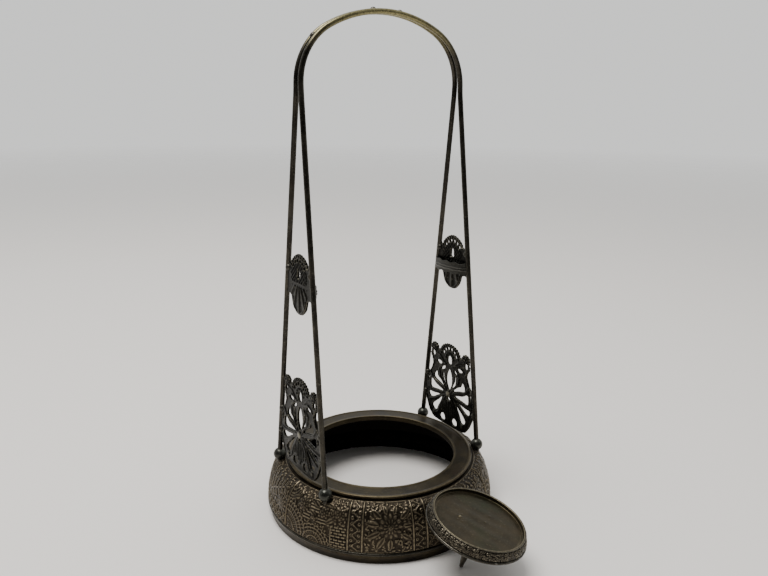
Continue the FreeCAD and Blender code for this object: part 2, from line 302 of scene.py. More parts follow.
def ridges(x, y, paths, width, height):
    """Rounded ridges along polylines."""
    return np.maximum.reduce([ridge(path_distance(x, y, path), width, height) for path in paths])


def arc_places(centre, radius, degrees):
    """Spots along an arc."""
    turns = [math.radians(turn) for turn in degrees]
    return [(centre[0] + radius * math.cos(t), centre[1] + radius * math.sin(t)) for t in turns]


def leaf(x, y, root, degrees, length, width, height):
    """Pointed leaf with a groove down its middle."""
    turn = math.radians(degrees)
    along = (x - root[0]) * math.cos(turn) + (y - root[1]) * math.sin(turn)
    across = (y - root[1]) * math.cos(turn) - (x - root[0]) * math.sin(turn)
    share = np.clip(along / length, 0, 1)
    half = width / 2 * np.sin(math.pi * share ** 0.8) + 1e-3
    body = np.clip(1 - (across / half) ** 2, 0, None)
    inside = (along > 0) & (along < length)
    vein = 0.45 * np.exp(-(across / (0.14 * width)) ** 2)
    return np.where(inside, height * np.sqrt(body) * (1 - vein), 0)


def flower(x, y, centre, radius, petals, layers=2):
    """Full flower: rings of petals round a raised eye, each ring turned by half a petal."""
    distance = apart(x, y, centre)
    angle = np.arctan2(y - centre[1], x - centre[0])
    out = dome(x, y, centre, radius * 0.2, 1)
    for layer in range(layers):
        outer = radius * (1 - 0.36 * layer)
        inner = outer * 0.32
        lobe = np.abs(np.cos(petals / 2 * angle + layer * math.pi / 2))
        edge = inner + (outer - inner) * lobe ** 0.35
        fall = np.clip(1 - distance / edge, 0, 1)
        petal = np.minimum(1, 2.2 * np.sqrt(fall)) * (0.45 + 0.55 * lobe)
        out = np.maximum(out, (0.62 + 0.22 * layer) * petal)
    return out


def fan(x, y, pivot, radius, first, last, ribs, height=0.9):
    """Open fan: ribs between two angles, crossed by arcs and ending in scallops."""
    distance = apart(x, y, pivot)
    angle = np.degrees(np.arctan2(y - pivot[1], x - pivot[0]))
    share = (angle - first) / (last - first)
    inside = (share > 0) & (share < 1)
    wave = np.abs(np.sin(math.pi * ribs * share))
    rim = radius * (0.93 + 0.07 * wave)
    spokes = height * (1 - wave ** 0.5) * (distance < rim)
    arcs = sum(ridge(distance - k * radius, 0.45, height * 0.8) for k in (0.36, 0.62, 0.8))
    edge = ridge(distance - rim, 0.4, height)
    return np.where(inside & (distance < rim + 0.8), np.maximum(np.maximum(spokes, arcs), edge), 0)


def within(x, y, low, high):
    """True inside a rectangle."""
    return (x > low[0]) & (x < high[0]) & (y > low[1]) & (y < high[1])


def masked(field, x, y, low, high):
    """The field inside a rectangle only."""
    return np.where(within(x, y, low, high), field, 0)


def cover(below, above):
    """Lays a shape over what is there, which it hides."""
    return np.where(above > 0, above, below)


def plant(below, x, y, centre, radius, petals):
    """Puts a flower in place of what is there."""
    return np.where(apart(x, y, centre) < radius, flower(x, y, centre, radius, petals), below)


# Embossing of the base. The pattern repeats three times round the base. In one repeat, x is
# the distance round the base from the middle of the first strip, and y the distance up the
# sheet from the seam with the foot.

SHELL_RELIEF = 0.7
STRIP_HALF = 3.65
REPEATS = 3
SHELL_COLUMNS = 360 * REPEATS   # of the mesh
FIRST_STRIP = math.radians(-135)
PATTERN_RADIUS = 62.0
SPAN = 2 * math.pi * PATTERN_RADIUS / REPEATS
shell_profile = outer_profile(node_points("base_shell"))
shell_top = shell_profile[-1, 1]
shell_profile = shell_profile[shell_profile[:, 0] > collar_radius - 4]
open_part = shell_profile[shell_profile[:, 0] > collar_radius]
sheet_length = np.linalg.norm(np.diff(open_part, axis=0), axis=1).sum()
ROSETTE_PANEL = (STRIP_HALF, 29.4)
SECOND_STRIP = ROSETTE_PANEL[1] + STRIP_HALF
FAN_PANEL = (SPAN - 43.3, SPAN - STRIP_HALF)
LATTICE_PANEL = (SECOND_STRIP + STRIP_HALF, FAN_PANEL[0])
BORDER_LOW = 1.0
BORDER_HIGH = sheet_length - 0.9
LEAF_PITCH = 1.65               # between the small leaves of the ground
FAN_MIDDLE = 12.4               # height of the line that halves the fan panel
SCALES_TOP = 9.0                # height of the scales below the lattice


def foliage(x, y, low, high, pitch, height):
    """Small leaves that fill the ground between larger motifs, each turned its own way."""
    out = np.zeros_like(x)
    for i, across in enumerate(np.arange(low[0] + 0.6, high[0], pitch)):
        for j, up in enumerate(np.arange(low[1] + 0.6, high[1], pitch)):
            turn = 137.5 * (i + 3 * j) + 40 * math.sin(i * j)
            root = (across + 0.4 * math.sin(2.3 * i + j), up + 0.4 * math.sin(1.7 * j + i))
            out = np.maximum(out, leaf(x, y, root, turn, 1.25 * pitch, 0.62 * pitch, height))
    return masked(out, x, y, low, high)


def strip_relief(x, y, centre):
    """Narrow upright strip: two plain ribs with a chain of scrolls and beads between them."""
    level = x - centre
    ribs = ridge(np.abs(level) - STRIP_HALF, 0.42, 1.0)
    pitch = 2.8
    scroll = ridge(level - 1.3 * np.sin(math.pi * y / pitch), 0.4, 0.75)
    curls = ridge(np.hypot(np.abs(level) - 1.9, (y % pitch) - pitch / 2) - 0.55, 0.28, 0.7)
    inner = np.where(np.abs(level) < STRIP_HALF - 0.7, np.maximum(scroll, curls), 0)
    return np.maximum(ribs, inner)


def rosette_panel(x, y):
    """A full chrysanthemum with leaves, a stem and small buds on a ground of foliage."""
    left, right = ROSETTE_PANEL
    centre = (left + 14.2, 14.6)
    out = foliage(x, y, (left + 0.8, BORDER_LOW), (right - 0.8, BORDER_HIGH), LEAF_PITCH, 0.8)
    out = np.where(apart(x, y, centre) < 7.0, 0, out)
    out = np.maximum(out, flower(x, y, centre, 6.4, 12, layers=3))
    leaves = [(5.6, 172, 8.0, 3.6), (5.6, 205, 8.6, 3.8), (5.8, 238, 8.2, 3.6), (6.0, 268, 6.6, 3.2),
              (6.0, 140, 7.6, 3.4), (6.2, 108, 5.6, 3.0), (6.2, 72, 5.2, 3.0), (6.2, 36, 7.0, 3.2),
              (6.2, 2, 6.0, 3.0), (6.0, -34, 8.0, 3.4)]
    for start, degrees, length, width in leaves:
        root, = arc_places(centre, start, [degrees])
        out = cover(out, leaf(x, y, root, degrees, length, width, 0.9))
    buds = [(right - 2.6, 22.6), (right - 2.2, 19.4), (right - 2.0, 16.2), (right - 2.0, 13.0),
            (right - 2.2, 9.8), (right - 2.6, 6.6), (right - 3.4, 3.6)]
    return np.maximum(out, domes(x, y, buds, 1.0, 0.8))


def fan_panel(x, y):
    """Fans, flowers and brickwork on a lined ground."""
    left, right = FAN_PANEL
    out = foliage(x, y, (left + 0.8, FAN_MIDDLE), (right - 0.8, BORDER_HIGH), LEAF_PITCH, 0.75)
    lines = 0.6 * (np.sin(2 * math.pi * y / 1.5) > 0)
    out = np.where(within(x, y, (left + 13, 12.0), (right - 10, 21)), lines, out)
    course = np.floor(y / 1.6)
    brick_edge = np.minimum((x + 1.3 * (course % 2)) % 2.6, y % 1.6)
    bricks = 0.75 * (brick_edge > 0.5)
    out = np.where(within(x, y, (right - 8.8, BORDER_LOW), (right - 0.7, FAN_MIDDLE)), bricks, out)
    frame_rib = ridge(x - (right - 9.2), 0.4, 0.9)
    out = np.maximum(out, masked(frame_rib, x, y, (left, BORDER_LOW), (right, FAN_MIDDLE)))
    low_ground = foliage(x, y, (left + 0.8, BORDER_LOW), (right - 10, FAN_MIDDLE), LEAF_PITCH, 0.75)
    out = np.maximum(out, low_ground)
    for pivot, radius, first, last, ribs in (((right - 19.5, 0.6), 9.8, 4, 176, 11),
                                             ((left + 1.6, 2.2), 14.0, 8, 98, 10),
                                             ((left + 1.0, 24.6), 7.6, -96, -8, 6)):
        shape = fan(x, y, pivot, radius, first, last, ribs)
        turn = np.degrees(np.arctan2(y - pivot[1], x - pivot[0]))
        covered = (apart(x, y, pivot) < 0.93 * radius) & (turn > first) & (turn < last)
        out = np.where(covered, shape, np.maximum(out, shape))
    for centre, radius, petals in (((right - 4.8, 19.0), 3.8, 8), ((right - 13.6, 17.6), 3.4, 6),
                                   ((left + 12.4, 18.4), 4.4, 9), ((left + 20.0, 14.2), 2.6, 5)):
        out = plant(out, x, y, centre, radius, petals)
    for root, degrees, length in (((right - 8.0, 15.8), 214, 6.0), ((right - 8.6, 21.4), 168, 6.5),
                                  ((left + 16.8, 21.4), 8, 6.8), ((left + 16.6, 17.0), -26, 6.0),
                                  ((right - 17.0, 19.4), 152, 6.0), ((left + 8.4, 20.6), 198, 6.0)):
        out = cover(out, leaf(x, y, root, degrees, length, 2.9, 0.9))
    return out


def lattice_panel(x, y):
    """Diamond lattice with a bead in each cell, waves of scales below and a spray of leaves."""
    left, right = LATTICE_PANEL
    middle = (left + right) / 2
    cell = 3.2
    diagonals = np.minimum(np.abs(((x + y) % cell) - cell / 2), np.abs(((x - y) % cell) - cell / 2))
    beads = ridge(np.hypot((x + y + cell / 2) % cell - cell / 2, (x - y + cell / 2) % cell - cell / 2),
                  0.8, 0.7)
    lattice = np.maximum(ridge(diagonals, 0.34, 0.75), beads)
    out = foliage(x, y, (middle - 3, SCALES_TOP), (right - 0.8, BORDER_HIGH), LEAF_PITCH, 0.75)
    out = np.maximum(out, masked(lattice, x, y, (left + 0.8, SCALES_TOP), (middle - 3, BORDER_HIGH)))
    size = 5.0
    for shift, base in ((0, 0), (size / 2, 2.5), (0, 5.0)):
        level = ((x + shift) % size) - size / 2
        distance = np.hypot(level, y - base - 0.6)
        scale = np.maximum(ridge(distance - 2.35, 0.3, 0.9), ridge(distance - 1.35, 0.3, 0.75))
        band = (y > base + 0.6) & (y < min(base + 3.4, SCALES_TOP))
        out = np.maximum(out, np.where(band, scale, 0))
    branch = [(middle + 1, SCALES_TOP), (middle + 5, 13.5), (middle + 11, 16), (right - 4, 21)]
    out = np.maximum(out, ridges(x, y, [branch], 0.45, 0.95))
    for i in range(6):
        root = (middle + 2 + 3.2 * i, 11 + 1.7 * i)
        for degrees, length in ((100 - 6 * i, 5.0), (-22 - 4 * i, 4.6)):
            out = cover(out, leaf(x, y, root, degrees, length, 2.7, 0.95))
    return plant(out, x, y, (right - 5.5, 11.0), 4.6, 10)


def one_repeat(columns, along):
    """Height field of one repeat of the base's pattern, from 0 to 1."""
    x, y = np.broadcast_arrays(np.arange(columns) * SPAN / columns, along)
    field = np.zeros_like(x)
    for (left, right), panel in ((ROSETTE_PANEL, rosette_panel), (LATTICE_PANEL, lattice_panel),
                                 (FAN_PANEL, fan_panel)):
        field = np.where((x > left) & (x < right), panel(x, y), field)
    field = np.maximum(field, ridge(x - FAN_PANEL[0], 0.45, 1.0))
    for centre in (0, SECOND_STRIP, SPAN):
        field = np.where(np.abs(x - centre) < STRIP_HALF + 0.6, strip_relief(x, y, centre), field)
    field = np.where((y > BORDER_LOW) & (y < BORDER_HIGH), field, 0)
    for border in (BORDER_LOW, BORDER_HIGH):
        field = np.maximum(field, ridge(y - border, 0.35, 0.8))
    return field


def shell_relief(angles, along):
    """Relief of the base's sheet, in millimetres, at evenly spaced angles."""
    columns = angles.shape[1]
    field = np.tile(one_repeat(columns // REPEATS, along), REPEATS)
    field = np.roll(field, round(FIRST_STRIP / (2 * math.pi) * columns), 1)
    return SHELL_RELIEF * (field - 0.5)


BAND_PATTERN_RADIUS = 25.0
BAND_REPEATS = 50
BAND_COLUMNS = 21 * BAND_REPEATS    # of the mesh
BAND_SHEET = 0.5


def lid_band_relief(angle, along):
    """Slanting leaves in two rows, with curls between them, pressed into the lid's side."""
    length = along.max()
    pitch = 2 * math.pi * BAND_PATTERN_RADIUS / BAND_REPEATS
    around = angle * BAND_PATTERN_RADIUS
    x, y = np.broadcast_arrays(around % pitch, along)
    out = np.zeros_like(x)
    for turn in (-pitch, 0, pitch):
        shifted = x - turn
        for root, degrees, size in (((0.1, 0.3 * length), 48, 2.6), ((1.5, 0.66 * length), -46, 2.6),
                                    ((1.2, 0.08 * length), 118, 1.9), ((2.6, 0.95 * length), 240, 1.9)):
            out = np.maximum(out, leaf(shifted, y, root, degrees, size, 1.25, 0.95))
        for across, up in ((2.6, 0.3), (0.9, 0.72)):
            curl = apart(shifted, y, (across, up * length)) - 0.5
            out = np.maximum(out, ridge(curl, 0.22, 0.85))
    wander = 0.5 * np.sin(around / 1.9 + 2.1 * np.sin(y * 1.3 + angle * 5))
    out = np.maximum(out * 0.85, ridge(y - length * (0.5 + 0.34 * wander) - wander, 0.3, 0.9))
    out = out * (0.8 + 0.2 * np.sin(7 * angle + 3 * np.sin(11 * angle)))
    for edge in (0.03, 0.97):
        out = np.maximum(out, ridge(y - edge * length, 0.22, 0.8))
    return 0.6 * (out - 1)


# Cast filigree. A plaque is drawn flat as closed loops of (across, height above the table).

def smooth_loop(points, steps=8):
    """Closed Catmull-Rom curve through the points."""
    points = np.asarray(points, float)
    before, after, later = (np.roll(points, k, 0) for k in (1, -1, -2))
    out = []
    for t in np.linspace(0, 1, steps, endpoint=False):
        out.append(0.5 * (2 * points + (after - before) * t
                          + (2 * before - 5 * points + 4 * after - later) * t ** 2
                          + (3 * points - before - 3 * after + later) * t ** 3))
    return np.stack(out, 1).reshape(-1, 2)


def beaded(loop, above, pitch=1.9, depth=0.7):
    """The anticlockwise loop with a row of beads along its edge above a height."""
    run = np.cumsum(np.linalg.norm(loop - np.roll(loop, 1, 0), axis=1))
    ahead = np.roll(loop, -1, 0) - np.roll(loop, 1, 0)
    outward = np.stack([ahead[:, 1], -ahead[:, 0]], -1) / np.linalg.norm(ahead, axis=1)[:, None]
    bead = depth * (np.abs(np.sin(math.pi * run / pitch)) - 0.5) * (loop[:, 1] > above)
    return loop + outward * bead[:, None]


def inside_distance(places, loop):
    """Distance from places to a loop, positive inside it."""
    start, end = loop, np.roll(loop, -1, 0)
    best = np.full(len(places), 1e9)
    inside = np.zeros(len(places), bool)
    x, y = places.T
    for (x0, y0), (x1, y1) in zip(start, end):
        best = np.minimum(best, segment_distance(x, y, (x0, y0), (x1, y1)))
        if y0 != y1:
            crossing = (y0 > y) != (y1 > y)
            inside ^= crossing & (x < (x1 - x0) * (y - y0) / (y1 - y0) + x0)
    return np.where(inside, best, -best)


def mirror_half(points):
    """Closed outline from its right half, listed from the bottom centre to the top centre."""
    left = [(-across, height) for across, height in reversed(points) if across > 0]
    return list(points) + left


RIM_HEIGHT = 0.15               # of the fine rim along every edge of a plaque
HOLE_RADIUS = 0.85              # of the small round openings in the crests


def filigree(outline, openings, thickness, edge, detail, spacing=0.3):
    """Pierced casting with rounded edges, as flat points (across, height, depth), faces and the
    relief attribute.

    detail(x, y) adds relief to the front and back, and a fine rim follows every edge. The
    grid's border is pulled onto the drawn outlines, where the two faces meet.
    """
    def depth_inside(places):
        clear = [-inside_distance(places, opening) for opening in openings]
        return np.minimum.reduce([inside_distance(places, outline)] + clear)

    low, high = outline.min(0) - spacing, outline.max(0) + spacing
    across = np.arange(low[0], high[0] + spacing, spacing)
    up = np.arange(low[1], high[1] + spacing, spacing)
    gx, gy = np.meshgrid(across, up)
    places = np.stack([gx.ravel(), gy.ravel()], -1)
    distance = depth_inside(places)
    rows, columns = gx.shape
    index = np.arange(rows * columns).reshape(rows, columns)
    quads = np.stack([index[:-1, :-1], index[:-1, 1:], index[1:, 1:], index[1:, :-1]], -1).reshape(-1, 4)
    quads = quads[(distance[quads] > -0.5 * spacing).all(1)]
    used, uses = np.unique(quads, return_counts=True)
    border = np.zeros(rows * columns, bool)
    border[used[uses < 4]] = True

    moving = places[border]
    for _ in range(3):
        step = 0.05
        here = depth_inside(moving)
        slope = np.stack([depth_inside(moving + (step, 0)) - here,
                          depth_inside(moving + (0, step)) - here], -1) / step
        slope /= np.maximum(np.linalg.norm(slope, axis=1), 0.5)[:, None]
        moving = moving - slope * here[:, None]
    places[border] = moving
    distance[border] = 0

    swell = np.sqrt(np.clip(1 - (1 - np.clip(distance / edge, 0, 1)) ** 2, 0, 1))
    raised = detail(places[:, 0], places[:, 1])
    rim = ridge(distance - 0.4 * edge, 0.25 * edge, 1)
    half = thickness / 2 * swell + raised * np.clip(distance / edge, 0, 1) + RIM_HEIGHT * rim
    half[border] = 0
    worn = np.maximum(rim, 1.6 * raised)

    number = np.full((2, rows * columns), -1)
    number[0, used] = np.arange(len(used))
    inner = used[~border[used]]
    number[1, used] = number[0, used]
    number[1, inner] = len(used) + np.arange(len(inner))
    front = np.column_stack([places[used], half[used]])
    back = np.column_stack([places[inner], -half[inner]])
    faces = np.vstack([number[0][quads], number[1][quads][:, ::-1]])
    return np.vstack([front, back]), faces, np.concatenate([worn[used], worn[inner]])


def stand_plaque(flat, side_x):
    """Puts a flat plaque into the plane of one pair of legs."""
    x = np.array([leg_at(height)[0] for height in flat[:, 1]]) - flat[:, 2]
    return np.column_stack([side_x * x, flat[:, 0], flat[:, 1] + table_z])


HUB = 52.5                      # height of the lower plaque's hub
LOWER_OUTLINE = [(0, 32.0), (8.0, 32.0), (14.6, 32.8), (18.2, 36.4), (20.6, 41.2), (22.2, 45.4),
                 (22.9, 50.0), (22.2, 55.4), (20.9, 60.0), (18.0, 62.8), (16.2, 66.0), (15.6, 69.2),
                 (16.6, 71.6), (17.9, 73.6), (17.2, 76.0), (17.6, 78.6), (16.0, 81.0), (13.6, 81.4),
                 (11.6, 80.4), (10.0, 77.9), (8.6, 79.6), (7.0, 81.6), (4.2, 83.2), (0, 84.0)]
LOWER_OPENINGS = [
    [(2.6, 57.4), (5.2, 59.6), (6.0, 62.4), (5.8, 65.4), (5.0, 65.0), (4.6, 61.2)],
    [(3.8, 55.6), (8.6, 57.2), (13.4, 58.6), (14.2, 60.4), (12.8, 62.8), (11.4, 63.2), (10.6, 60.6),
     (7.4, 58.8)],
    [(5.6, 52.9), (11.4, 52.0), (16.6, 51.6), (17.6, 53.6), (17.2, 56.8), (15.6, 57.0), (12.2, 55.0)],
    [(8.6, 49.5), (13.6, 48.6), (18.4, 48.2), (19.0, 46.8), (17.6, 45.2), (14.8, 45.8), (11.2, 48.0)],
    [(6.4, 48.8), (9.4, 45.8), (13.4, 42.6), (15.4, 40.0), (13.6, 38.0), (11.4, 38.6), (9.8, 42.0),
     (7.8, 45.4)],
    [(5.4, 38.2), (7.4, 37.0), (7.9, 35.2), (6.6, 34.1), (4.4, 34.1), (3.2, 35.4), (3.8, 37.2)],
    [(7.2, 70.6), (9.4, 71.3), (11.8, 70.6), (10.4, 69.4), (8.4, 69.3)],
    [(4.0, 69.2), (6.4, 68.2), (7.6, 66.4), (6.6, 66.4), (4.6, 67.6)],
    [(14.9, 76.4), (16.1, 75.0), (15.7, 73.3), (14.4, 73.0), (13.8, 74.8)],
    [(18.6, 58.8), (19.8, 57.0), (19.4, 54.6), (18.9, 56.6)],
]
LOWER_OVAL = [(0, 55.2), (1.9, 58.4), (2.6, 61.8), (1.9, 65.2), (0, 68.4)]
LOWER_WINDOW = [(0, 71.6), (1.5, 72.2), (1.8, 74.0), (1.3, 75.8), (0, 76.6)]
LOWER_EYE = [(0, 48.5), (1.5, 49.0), (0.9, 50.0), (0, 50.3)]

UPPER_OUTLINE = [(0, 118.3), (3.2, 118.9), (5.6, 120.9), (7.4, 123.8), (8.4, 126.6), (10.4, 127.5),
                 (13.2, 127.8), (13.0, 133.0), (12.3, 138.0), (11.8, 142.6), (11.0, 143.8),
                 (9.6, 143.0), (8.6, 143.6), (7.6, 145.4), (5.0, 147.6), (2.4, 148.8), (0, 149.2)]
UPPER_SLIT = [(0, 136.9), (1.2, 137.4), (1.25, 139.2), (0.8, 141.4), (0, 142.2)]


KNOB = (14.0, 78.6)
PETAL_RIDGES = [[(1, HUB), (4.2, 57), (8.2, 61.4), (9.2, 66), (6.4, 69)],
                [(1, HUB), (9, 56.2), (15.2, 58.6), (17.6, 62)],
                [(1, HUB), (9, 51.2), (15, 50), (21, 49.8)],
                [(1, HUB), (8, 48.3), (13, 45.2), (18.5, 43)],
                [(1, HUB), (5.4, 46.6), (7.8, 42.4), (9.2, 38), (12.6, 35.6)],
                [(0.3, HUB), (0, 45), (0, 36)], [(0.8, HUB), (1.9, 46), (1.7, 38)],
                [(1.6, 50), (3.6, 45), (3.5, 39.5)], [(2.6, 50), (5.4, 45.4), (6.2, 40.4)]]
SCROLLS = [[(17.4, 35.6), (20, 40.6), (21.4, 45)], [(20, 60.6), (16.8, 64), (14.6, 68), (16, 72)],
           [(14, 70), (9, 72.8), (3, 71)], [(13, 76), (8.6, 75), (4.6, 71.6)]]


def lower_detail(x, y):
    """Beads round the crest and knobs, a ringed hub, and a ridge along every petal."""
    side = np.abs(x)
    crest = arc_places((0, 75.2), 8.0, range(12, 169, 13)) + arc_places((0, 75), 3.4, range(0, 181, 30))
    knob = arc_places(KNOB, 1.9, [360 * i / 7 for i in range(7)])
    return np.maximum.reduce([
        domes(x, y, crest, 0.75, 0.6), dome(x, y, (0, HUB), 2.6, 0.9),
        domes(side, y, knob, 0.85, 0.6), dome(side, y, KNOB, 1.1, 0.7),
        dome(side, y, (13.2, 36.0), 1.7, 0.7),
        ridges(side, y, PETAL_RIDGES, 0.5, 0.55), ridges(side, y, SCROLLS, 0.45, 0.55)]) - 0.2


def upper_detail(x, y):
    """Beads over the crest, a net below it, and a tongue with ribs that spread downwards."""
    crest = (0, 138.4)
    net = np.minimum(np.abs(((x + y) % 2.4) - 1.2), np.abs(((x - y) % 2.4) - 1.2))
    netted = ridge(net, 0.35, 0.45) * (y > 134.5) * (apart(x, y, crest) < 8.2)
    angle = np.degrees(np.arctan2(x, 138 - y))
    tongue = 0.5 * np.abs(np.cos(np.radians(angle * 9))) ** 3 * (y < 133) * (y > 119.4) * (np.abs(x) < 8)
    rim = ridge(np.hypot(x / 7.6, (y - 127.0) / 8.4) - 0.9, 0.06, 0.5) * (y < 127)
    beads = domes(x, y, arc_places(crest, 9.6, range(28, 153, 12)), 0.8, 0.6)
    return np.maximum.reduce([beads, netted, tongue, rim]) - 0.1


def holes(places):
    return [np.array(arc_places(place, HOLE_RADIUS, range(0, 360, 30))) for place in places]


def make_plaques():
    lower_openings = [smooth_loop(np.array(o) * (side, 1)) for o in LOWER_OPENINGS for side in (1, -1)]
    lower_openings += [smooth_loop(mirror_half(o)) for o in (LOWER_OVAL, LOWER_WINDOW, LOWER_EYE)]
    lower_openings += holes(arc_places((0, 75), 6.2, range(25, 156, 26)))
    outline = beaded(smooth_loop(mirror_half(LOWER_OUTLINE), 14), 70)
    lower = filigree(outline, lower_openings, 1.5, 0.8, lower_detail)
    upper_openings = holes(arc_places((0, 138.9), 7.2, (36, 58, 79, 101, 122, 144)))
    upper_openings.append(smooth_loop(mirror_half(UPPER_SLIT)))
    outline = beaded(smooth_loop(mirror_half(UPPER_OUTLINE), 14), 142)
    upper = filigree(outline, upper_openings, 1.3, 0.7, upper_detail, 0.25)
    for side_x, side in ((-1, "left"), (1, "right")):
        for level, (flat, faces, worn) in (("lower", lower), ("upper", upper)):
            turned = faces if side_x < 0 else faces[:, ::-1]
            name = level + "_plaque_" + side
            make_piece("cast_" + name, stand_plaque(flat, side_x), turned, "plaque_plate", worn,
                       name)


# Materials

class Nodes:
    """A node tree, built up with short calls."""

    def __init__(self, tree):
        self.tree = tree
        tree.nodes.clear()
        self.places = self.add("ShaderNodeTexCoord").outputs

    def add(self, kind, **values):
        node = self.tree.nodes.new(kind)
        for key, value in values.items():
            setattr(node, key, value)
        return node

    def link(self, source, target):
        self.tree.links.new(source, target)

    def noise(self, size, detail, roughness):
        """Noise with features of about size millimetres."""
        node = self.add("ShaderNodeTexNoise")
        node.inputs["Scale"].default_value = 1 / (size * MM)
        node.inputs["Detail"].default_value = detail
        node.inputs["Roughness"].default_value = roughness
        self.link(self.places["Object"], node.inputs["Vector"])
        return node.outputs["Fac"]

    def ramp(self, source, low, high, to_low=0.0, to_high=1.0):
        """Maps low to high of source onto to_low to to_high, and holds it there."""
        node = self.add("ShaderNodeMapRange")
        for key, value in (("From Min", low), ("From Max", high), ("To Min", to_low), ("To Max", to_high)):
            node.inputs[key].default_value = value
        self.link(source, node.inputs["Value"])
        return node.outputs["Result"]

    def mix(self, share, first, second):
        """Colour that goes from first to second with share."""
        node = self.add("ShaderNodeMix", data_type="RGBA")
        self.link(share, node.inputs[0])
        for socket, value in ((node.inputs[6], first), (node.inputs[7], second)):
            if isinstance(value, tuple):
                socket.default_value = (*value, 1)
            else:
                self.link(value, socket)
        return node.outputs[2]

    def maths(self, operation, first, second):
        node = self.add("ShaderNodeMath", operation=operation)
        for socket, value in zip(node.inputs, (first, second)):
            if isinstance(value, (int, float)):
                socket.default_value = value
            else:
                self.link(value, socket)
        return node.outputs[0]

    def show(self, shader, kind):
        """Ends the tree with an output of a kind."""
        self.link(shader.outputs[0], self.add(kind).inputs["Surface"])


def new_material(name):
    material = bpy.data.materials.new(name)
    material.use_nodes = True
    return material, Nodes(material.node_tree)


DARK = (0.016, 0.013, 0.010)
# Near-black colour of painted shade.
PAINTED_SHADE_COLOUR = (0.006, 0.005, 0.004)
# Brass of worn plating, together with a painted highlight on the top of the arch.
BRASS_AND_TOP_HIGHLIGHT = (0.36, 0.32, 0.15)


def tarnished(name, dark, mid, worn, stain, relief=(2, 3), smooth=(0.3, 0.5), tint=None):
    """Tarnished silver plate: cloudy dark film, stains, bare metal where it is rubbed, and painted shade
    on faces marked for it.

    relief gives the two values of the relief attribute between which the metal is rubbed bare;
    below them the film is as dark as it gets. tint is (axis, from, to, colour): a colour that
    comes in along an axis, between two places in millimetres.
    """
    material, nodes = new_material(name)
    cloud = nodes.noise(11, 5, 0.62)
    speck = nodes.noise(1.3, 6, 0.7)
    patch = nodes.noise(17, 3, 0.5)
    grain = nodes.noise(0.35, 3, 0.6)
    broken = nodes.ramp(speck, 0.3, 0.6, 0.35, 1)
    raised = nodes.add("ShaderNodeAttribute", attribute_name="relief").outputs["Fac"]
    colour = nodes.mix(nodes.ramp(cloud, 0.32, 0.68), dark, mid)
    if tint:
        axis, start, end, shade = tint
        place = nodes.add("ShaderNodeSeparateXYZ")
        nodes.link(nodes.places["Object"], place.inputs[0])
        share = nodes.ramp(place.outputs[axis], start * MM, end * MM)
        colour = nodes.mix(nodes.maths("MULTIPLY", share, broken), colour, shade)
    colour = nodes.mix(nodes.ramp(patch, 0.54, 0.7, 0, 0.6), colour, stain)
    colour = nodes.mix(nodes.ramp(speck, 0.56, 0.78, 0, 0.45), colour, worn)
    rubbed = nodes.maths("MULTIPLY", nodes.ramp(raised, *relief), broken)
    colour = nodes.mix(rubbed, colour, worn)
    # Painted shade: faces marked for it in the relief attribute turn near-black, and a little rougher.
    painted_shade = nodes.ramp(raised, PAINTED_SHADE_MARK, PAINTED_SHADE_MARK / 4, 1, 0)
    colour = nodes.mix(painted_shade, colour, PAINTED_SHADE_COLOUR)
    roughness = nodes.ramp(cloud, 0.3, 0.7, *smooth)
    roughness = nodes.maths("ADD", roughness, nodes.maths("MULTIPLY", painted_shade, 0.3))
    height = nodes.maths("ADD", nodes.maths("MULTIPLY", speck, 0.7), nodes.maths("MULTIPLY", grain, 0.3))
    bump = nodes.add("ShaderNodeBump")
    bump.inputs["Strength"].default_value = 0.35
    bump.inputs["Distance"].default_value = 0.15 * MM
    nodes.link(height, bump.inputs["Height"])
    shader = nodes.add("ShaderNodeBsdfPrincipled")
    shader.inputs["Metallic"].default_value = 0.92
    nodes.link(colour, shader.inputs["Base Color"])
    nodes.link(roughness, shader.inputs["Roughness"])
    nodes.link(bump.outputs["Normal"], shader.inputs["Normal"])
    nodes.show(shader, "ShaderNodeOutputMaterial")
    plates[name] = material


def dress(slot, *names):
    """Gives carried-over CAD nodes a material."""
    for name in names:
        slots = frame["nodes"][name].data.materials
        slots.clear()
        slots.append(plates[slot])


tarnished("embossed_plate", DARK, (0.036, 0.028, 0.018), (0.23, 0.19, 0.125), (0.026, 0.02, 0.014),
          relief=(0.5, 1.25), smooth=(0.26, 0.45))
tarnished("plain_plate", (0.018, 0.014, 0.008), (0.058, 0.046, 0.025), (0.17, 0.14, 0.085),
          (0.045, 0.03, 0.018), relief=(0.35, 1.5))
# The arch turns brass towards its top: partly worn plating, partly a painted highlight.
tarnished("bail_plate", (0.014, 0.0135, 0.011), (0.06, 0.054, 0.042), (0.3, 0.27, 0.21), DARK,
          smooth=(0.2, 0.36), tint=(2, 214, 240, BRASS_AND_TOP_HIGHLIGHT))
tarnished("ball_plate", (0.03, 0.031, 0.027), (0.11, 0.112, 0.095), (0.36, 0.37, 0.31), DARK)
tarnished("plaque_plate", (0.004, 0.004, 0.003), (0.010, 0.0095, 0.0075), (0.28, 0.26, 0.2),
          (0.005, 0.007, 0.005), relief=(0.55, 1.2), smooth=(0.28, 0.45))
tarnished("strap_plate", (0.012, 0.012, 0.010), (0.05, 0.049, 0.043), (0.2, 0.19, 0.17), DARK,
          relief=(0.5, 1.2))
tarnished("solder", (0.03, 0.028, 0.023), (0.08, 0.075, 0.062), (0.3, 0.29, 0.26), DARK)
tarnished("lid_plain_plate", (0.024, 0.020, 0.010), (0.060, 0.047, 0.028), (0.22, 0.19, 0.125),
          (0.026, 0.034, 0.016), relief=(0.2, 1))
